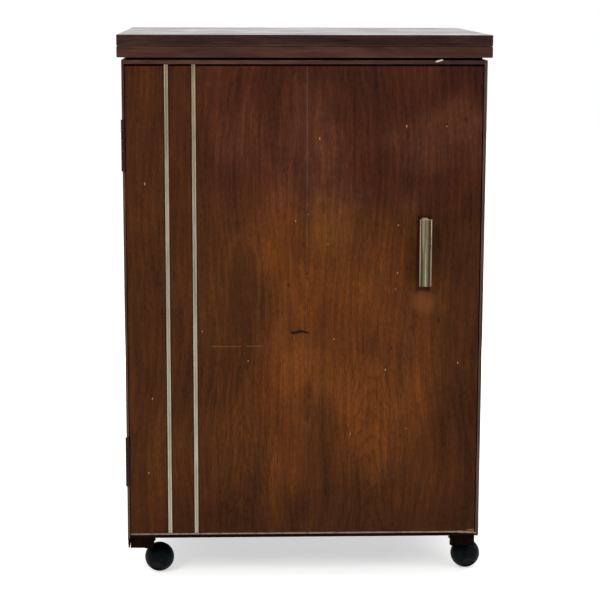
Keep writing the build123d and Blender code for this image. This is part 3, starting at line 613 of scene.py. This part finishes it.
EDGING_PALE = srgb(128, 105, 91)
EDGING_SCUFFED = srgb(74, 52, 40)
WOOD = {
    "door": veneer(
        "door_veneer", "z", srgb(34, 16, 6), srgb(70, 37, 14), srgb(103, 58, 24),
        marks=door_marks, seed=0.31, joint=VENEER_JOINT,
        patches=0.19, mottle=(13.0, 8.0), fleck_density=120.0, figure=0.09,
    ),
    "leaf": veneer(
        "leaf_veneer", "x", srgb(18, 7, 7), srgb(40, 22, 20), srgb(66, 40, 35),
        gloss=0.17, specular=0.2, marks=leaf_marks, seed=1.7, warmth=0.2, patches=0.12, mottle=(9.0, 3.0),
        fleck_density=24.0, figure=0.22,
    ),
    "table": veneer(
        "table_veneer", "x", srgb(36, 21, 16), srgb(57, 36, 29), srgb(78, 51, 42),
        marks=worn_edges(TABLE_LOW, TABLE_HIGH, srgb(96, 70, 56), 1.0 * MM, 0.3), seed=4.1, warmth=0.3,
        patches=0.14, mottle=(9.0, 3.0), fleck_density=24.0, figure=0.20,
    ),
    "rail": veneer(
        "rail_veneer", "x", srgb(43, 27, 23), srgb(69, 44, 37), srgb(94, 64, 52),
        marks=rail_marks, seed=2.3, warmth=0.3,
    ),
    "side": veneer(
        "side_veneer", "z", srgb(30, 15, 6), srgb(60, 32, 14), srgb(90, 50, 24), marks=side_marks, seed=3.2
    ),
    # Near-black for the spacer and the bottom board: a dark stain made darker as painted shade for their
    # recessed front edges.
    "dark": veneer(
        "dark_board_painted_shade", "x", srgb(5, 2, 2), srgb(15, 7, 5), srgb(34, 20, 14),
        gloss=0.6, specular=0.03, seed=5.5,
    ),
    "block": veneer(
        "block_stain", "y", srgb(4, 2, 1), srgb(12, 5, 3), srgb(38, 18, 8),
        gloss=0.6, specular=0.015, seed=6.5,
    ),
    "raw": veneer(
        "raw_board", "x", srgb(104, 72, 46), srgb(146, 106, 70), srgb(180, 140, 98), gloss=0.65, seed=7.1
    ),
    "back": hardboard("back_hardboard", srgb(112, 76, 48), srgb(74, 48, 30)),
}
METAL = {
    "strip": metal(
        "strip_metal", srgb(166, 158, 140), srgb(100, 93, 80), 0.36,
        warm=(up_door(0.54), up_door(1.0), srgb(160, 142, 108)), marks=strip_tarnish,
    ),
    "handle": pull_metal(),
    "steel": metal("steel", srgb(176, 172, 162), srgb(110, 104, 94), 0.38, seed=4.0, grain=0.5),
    "hinge": metal("brown_enamel", srgb(64, 44, 38), srgb(34, 24, 22), 0.45, seed=5.0, grain=0.3),
}
PLASTIC = {
    "edging": plastic(
        "pale_edging", EDGING_PALE, EDGING_SCUFFED, 0.5, 25.0, 0.85, specular=0.1, marks=edging_glue_and_shade,
    ),
    "loose edging": plastic("loose_edging", EDGING_PALE, EDGING_SCUFFED, 0.5, 25.0, 0.85, specular=0.1),
    "catch": plastic("catch_plastic", srgb(206, 200, 184), srgb(160, 150, 130), 0.42),
    "hood": plastic("caster_hood_plastic", srgb(1, 1, 2), srgb(8, 8, 9), 0.36, 40.0, 0.5, specular=0.03),
    "wheel": plastic(
        "caster_wheel_plastic", srgb(3, 7, 9), srgb(15, 24, 27), 0.42, 40.0, 0.7, specular=0.05
    ),
    "card": plastic("worn_card", srgb(200, 192, 176), srgb(140, 128, 108), 0.7, 120.0, 0.5),
}


def finish_for(node):
    """The material of a carried-over node."""
    rules = [
        ("door_panel", WOOD["door"]), ("folding_leaf_screws", METAL["steel"]), ("folding_leaf", WOOD["leaf"]),
        ("table_top_screws", METAL["steel"]), ("table_top", WOOD["table"]), ("top_rail_front", WOOD["rail"]),
        ("top_rail_rear", WOOD["raw"]), ("side_panel_screws", METAL["steel"]), ("side_panel", WOOD["side"]),
        ("spacer", WOOD["dark"]), ("bottom_board", WOOD["dark"]), ("caster_block", WOOD["block"]),
        ("back_panel", WOOD["back"]), ("shelf", WOOD["raw"]), ("door_bottom_edging", PLASTIC["edging"]),
        ("trim_strip", METAL["strip"]), ("door_handle", METAL["handle"]), ("door_catch", PLASTIC["catch"]),
        ("caster_hood", PLASTIC["hood"]), ("caster_wheel", PLASTIC["wheel"]),
        ("door_hinge_pins", METAL["steel"]), ("door_hinge", METAL["hinge"]),
    ]
    for start, material in rules:
        if node.startswith(start):
            return material
    return METAL["steel"]


for node_name, node_object in nodes.items():
    node_object.data.materials.clear()
    node_object.data.materials.append(finish_for(node_name))


# Meshes ----------------------------------------------------------------------------------------

def add_piece(name, mesh, body, material, replaces=()):
    """Puts a mesh in the scene as a piece that rides on a body."""
    piece = bpy.data.objects.new(name, mesh)
    bpy.context.scene.collection.objects.link(piece)
    mesh.materials.append(material)
    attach(piece, body)
    if replaces:
        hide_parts(*replaces)
    return piece


def lofted(name, sections):
    """A closed mesh through rings of points, capped at both ends, and smooth where it turns gently."""
    smooth_angle = math.radians(35.0)
    mesh = bpy.data.meshes.new(name)
    work = bmesh.new()
    rings = [[work.verts.new(point) for point in section] for section in sections]
    count = len(rings[0])
    for near, far in zip(rings, rings[1:]):
        for index in range(count):
            after = (index + 1) % count
            work.faces.new((near[index], near[after], far[after], far[index]))
    work.faces.new(list(reversed(rings[0])))
    work.faces.new(rings[-1])
    bmesh.ops.recalc_face_normals(work, faces=work.faces)
    work.to_mesh(mesh)
    work.free()
    mesh.polygons.foreach_set("use_smooth", [True] * len(mesh.polygons))
    mesh.set_sharp_from_angle(angle=smooth_angle)
    return mesh


def arc(centre, radius_x, radius_y, start, end, steps):
    """Points along part of an ellipse, its angles in degrees."""
    points = []
    for step in range(steps + 1):
        angle = math.radians(start + (end - start) * step / steps)
        points.append((centre[0] + radius_x * math.cos(angle), centre[1] + radius_y * math.sin(angle)))
    return points


def pull_profile(width, depth):
    """The pull's outline, half of it and its mirror image: web, cap, rounded lip, flute and ribbed middle."""
    half = width / 2
    web = 4.25 * MM
    cap_back = -depth + 4.2 * MM
    lip = 1.15 * MM
    floor = -depth + 2.0 * MM
    ridge = 4.4 * MM
    rib = 0.7 * MM
    bevel = 0.5 * MM
    right = [(web, 0.0), (web, cap_back + bevel), (web + bevel, cap_back)]
    right += [(half - bevel, cap_back), (half, cap_back - bevel)]
    right += arc((half - lip, -depth + lip), lip, lip, 0, -180, 8)
    right += [(half - 2 * lip, floor), (ridge + 0.4 * MM, floor)]
    right += arc((0.0, floor), ridge, 1.5 * MM, 0, -78, 8)
    right += [(rib, -depth + 0.55 * MM), (rib * 0.8, -depth + 0.15 * MM), (rib * 0.4, -depth)]
    left = [(-x, y) for x, y in reversed(right)]
    return right + left


def build_pull():
    """The fluted bar, with its sawn ends eased: the end sections shrink towards the bar's middle."""
    box_low, box_high = low("door_handle"), high("door_handle")
    centre = (box_low.x + box_high.x) / 2
    profile = pull_profile(box_high.x - box_low.x, FRONT_Y - box_low.y)
    ease = 0.35 * MM
    reach = 10 * MM
    middle = -12 * MM
    levels = [(box_low.z, ease), (box_low.z + ease, 0.0), (box_high.z - ease, 0.0), (box_high.z, ease)]
    sections = []
    for z, inset in levels:
        shrink = 1 - inset / reach
        section = []
        for x, y in profile:
            section.append((centre + x * shrink, FRONT_Y + min(0.0, middle + (y - middle) * shrink), z))
        sections.append(section)
    mesh = lofted("door_pull", sections)
    add_piece("door_pull", mesh, "door", METAL["handle"], ["door_handle"])


def band_section(x, y, z, depth, height, lean=0.0):
    """A rounded rectangular section square to X: its front at y, its underside at z."""
    ease = min(depth, height) * 0.25
    corners = [
        (0, ease), (ease, 0), (depth - ease, 0), (depth, ease),
        (depth, height - ease), (depth - ease, height), (ease, height), (0, height - ease),
    ]
    return [(x, y + across + lean * up, z + up) for across, up in corners]


def build_edging():
    """The strip under the door: sound along most of its length, split and sprung at its right end."""
    box_low, box_high = low("door_bottom_edging"), high("door_bottom_edging")
    height = box_high.z - box_low.z
    depth = box_high.y - box_low.y
    split = box_high.x - 24 * MM
    skin = 0.9 * MM
    waviness = 0.10

    body = []
    steps = 40
    random.seed(7)
    for step in range(steps + 1):
        x = box_low.x + (split - box_low.x) * step / steps
        wander = random.uniform(-waviness, waviness) * MM
        body.append(band_section(x, box_low.y - wander, box_low.z, depth, height - abs(wander)))
    body.append(band_section(split + 1.5 * MM, box_low.y + skin, box_low.z, depth - skin, height))
    end = box_high.x - 0.5 * MM
    body.append(band_section(end, box_low.y + skin, box_low.z, depth - skin, height * 0.92))
    mesh = lofted("door_edging", body)
    add_piece("door_edging", mesh, "door", PLASTIC["edging"], ["door_bottom_edging"])

    sprung = []
    start = split - 2 * MM
    end = box_high.x + 2.4 * MM
    steps = 12
    for step in range(steps + 1):
        share = step / steps
        x = start + (end - start) * share
        forward = 0.1 * MM + 1.0 * MM * share ** 2
        drop = 0.9 * MM * share ** 1.5
        tall = height * (0.86 - 0.30 * share)
        y, z = box_low.y - forward, box_low.z - drop
        sprung.append(band_section(x, y, z, skin * 0.8, tall, lean=0.12 * share))
    mesh = lofted("sprung_edging_end", sprung)
    add_piece("sprung_edging_end", mesh, "door", PLASTIC["loose edging"])

    lifted = []
    steps = 8
    for step in range(steps + 1):
        share = step / steps
        x = split - 1 * MM + 9 * MM * share
        rise = height * 0.72 + 1.5 * MM * share
        tall = 0.9 * MM * (1 - 0.85 * share)
        y = box_low.y - (0.25 + 0.5 * share) * MM
        lifted.append(band_section(x, y, box_low.z + rise, 0.5 * MM, tall))
    mesh = lofted("lifted_edging_splinter", lifted)
    add_piece("lifted_edging_splinter", mesh, "door", PLASTIC["loose edging"])


def build_splinter():
    """A strip of veneer that hangs below the left side panel's front corner, narrower at its foot."""
    panel = low("side_panel_left")
    overlap, length = 2 * MM, 16.5 * MM
    root_width, narrowing = 5.2 * MM, 3.2 * MM
    thick = 0.8 * MM
    sections = []
    steps = 10
    for step in range(steps + 1):
        share = step / steps
        z = panel.z + overlap - length * share
        width = root_width - narrowing * share
        left = panel.x + 0.15 * MM + 0.7 * MM * share ** 2
        front = panel.y + 0.1 * MM - 0.6 * MM * share ** 2
        sections.append([
            (left, front, z), (left + width, front, z),
            (left + width, front + thick, z), (left, front + thick, z),
        ])
    mesh = lofted("side_veneer_splinter", sections)
    add_piece("side_veneer_splinter", mesh, "cabinet", WOOD["block"])


def build_shim():
    """A scrap of folded card caught between the top rail and the spacer."""
    rail_top = high("top_rail_front").z
    left_end = high("top_rail_front").x - 71 * MM
    length = 10.5 * MM
    front = low("top_rail_front").y
    sections = []
    steps = 8
    for step in range(steps + 1):
        share = step / steps
        x = left_end + length * share
        z = rail_top - (2.6 - 2.7 * share + 0.5 * math.sin(3 * share)) * MM
        tall = (1.6 + 0.9 * math.sin(math.pi * share)) * MM
        y = front - (0.9 - 0.5 * share) * MM
        lower = [(x, y, z), (x, y + 0.5 * MM, z)]
        upper = [(x, y + 0.9 * MM, z + tall), (x, y + 0.4 * MM, z + tall)]
        sections.append(lower + upper)
    add_piece("card_scrap", lofted("card_scrap", sections), "cabinet", PLASTIC["card"])


build_pull()
build_edging()
build_splinter()
build_shim()


# The scene around it ---------------------------------------------------------------------------

def studio_floor():
    """A plain pale floor."""
    floor_mesh = bpy.data.meshes.new("floor")
    work = bmesh.new()
    bmesh.ops.create_grid(work, x_segments=4, y_segments=4, size=8.0)
    work.to_mesh(floor_mesh)
    work.free()
    floor = bpy.data.objects.new("floor", floor_mesh)
    bpy.context.scene.collection.objects.link(floor)
    g = Graph("floor_paint")
    haze = g.noise(g.scaled((2, 2, 2)), 2.0)
    g.set(Base_Color=g.ramp(haze, [(0.3, srgb(243, 242, 241)), (0.7, srgb(247, 246, 245))]), Roughness=0.95)
    g.shader.inputs["Specular IOR Level"].default_value = 0.0
    g.shader.inputs["Emission Color"].default_value = (1.0, 1.0, 1.0, 1.0)
    g.shader.inputs["Emission Strength"].default_value = 0.5
    floor_mesh.materials.append(g.material)


def studio_world():
    """White wherever the camera looks. As a light, it is bright behind the object and dim in front."""
    world = bpy.data.worlds.new("studio")
    world.use_nodes = True
    tree = world.node_tree
    room = tree.nodes["Background"]
    direction = tree.nodes.new("ShaderNodeTexCoord")
    axes = tree.nodes.new("ShaderNodeSeparateXYZ")
    fade = tree.nodes.new("ShaderNodeMapRange")
    fade.interpolation_type = "SMOOTHSTEP"
    fade.inputs["From Min"].default_value = -0.75
    fade.inputs["From Max"].default_value = 0.05
    fade.inputs["To Min"].default_value = 0.10
    fade.inputs["To Max"].default_value = 1.0
    tree.links.new(direction.outputs["Generated"], axes.inputs[0])
    tree.links.new(axes.outputs["Y"], fade.inputs["Value"])
    tree.links.new(fade.outputs["Result"], room.inputs["Strength"])
    backdrop = tree.nodes.new("ShaderNodeBackground")
    backdrop.inputs["Color"].default_value = (1.0, 1.0, 1.0, 1.0)
    room.inputs["Color"].default_value = (1.0, 1.0, 1.0, 1.0)
    rays = tree.nodes.new("ShaderNodeLightPath")
    choose = tree.nodes.new("ShaderNodeMixShader")
    tree.links.new(rays.outputs["Is Camera Ray"], choose.inputs[0])
    tree.links.new(room.outputs[0], choose.inputs[1])
    tree.links.new(backdrop.outputs[0], choose.inputs[2])
    tree.links.new(choose.outputs[0], tree.nodes["World Output"].inputs["Surface"])
    bpy.context.scene.world = world


def studio_lamps():
    """Large soft lamps: a key at the front left, a fill at the right, one above, a low strip behind."""
    for name, place, aim, width, height, power in (
        ("key", (-1.5, -2.6, 2.2), (0.0, -0.2, 0.40), 1.6, 1.6, 60.0),
        ("fill", (1.9, -2.4, 1.5), (0.0, -0.2, 0.40), 2.0, 2.0, 24.0),
        ("above", (0.2, 0.5, 2.8), (0.0, 0.0, 0.45), 2.0, 2.0, 14.0),
        ("behind", (0.0, 1.7, 0.32), (0.0, 0.0, 0.0), 2.6, 0.3, 16.0),
    ):
        data = bpy.data.lights.new(name, "AREA")
        data.shape = "RECTANGLE"
        data.size = width
        data.size_y = height
        data.energy = power
        lamp = bpy.data.objects.new(name, data)
        bpy.context.scene.collection.objects.link(lamp)
        lamp.location = place
        lamp.rotation_euler = (Vector(aim) - Vector(place)).to_track_quat("-Z", "Y").to_euler()
        lamp.visible_camera = False


def camera():
    """Eye level just above the top, a little left of centre, looking slightly right and down."""
    left_of_centre, before_door, above_leaf = 0.101, 2.604, 0.074
    yaw, pitch, roll = (math.radians(angle) for angle in (2.08, 10.02, 0.16))
    ahead = Vector((math.sin(yaw) * math.cos(pitch), math.cos(yaw) * math.cos(pitch), -math.sin(pitch)))
    level = Vector((math.cos(yaw), -math.sin(yaw), 0))
    upright = level.cross(ahead)
    right = math.cos(roll) * level + math.sin(roll) * upright
    up = math.cos(roll) * upright - math.sin(roll) * level
    data = bpy.data.cameras.new("camera")
    data.sensor_width = 36.0
    data.lens = 107.9
    data.clip_end = 50.0
    eye = bpy.data.objects.new("camera", data)
    bpy.context.scene.collection.objects.link(eye)
    turn = Matrix((right, up, -ahead)).transposed().to_4x4()
    place = (-left_of_centre, FRONT_Y - before_door, LEAF_HIGH.z + above_leaf)
    eye.matrix_world = Matrix.Translation(place) @ turn
    bpy.context.scene.camera = eye
    bpy.context.scene.view_settings.view_transform = "Standard"


studio_floor()
studio_world()
studio_lamps()
camera()
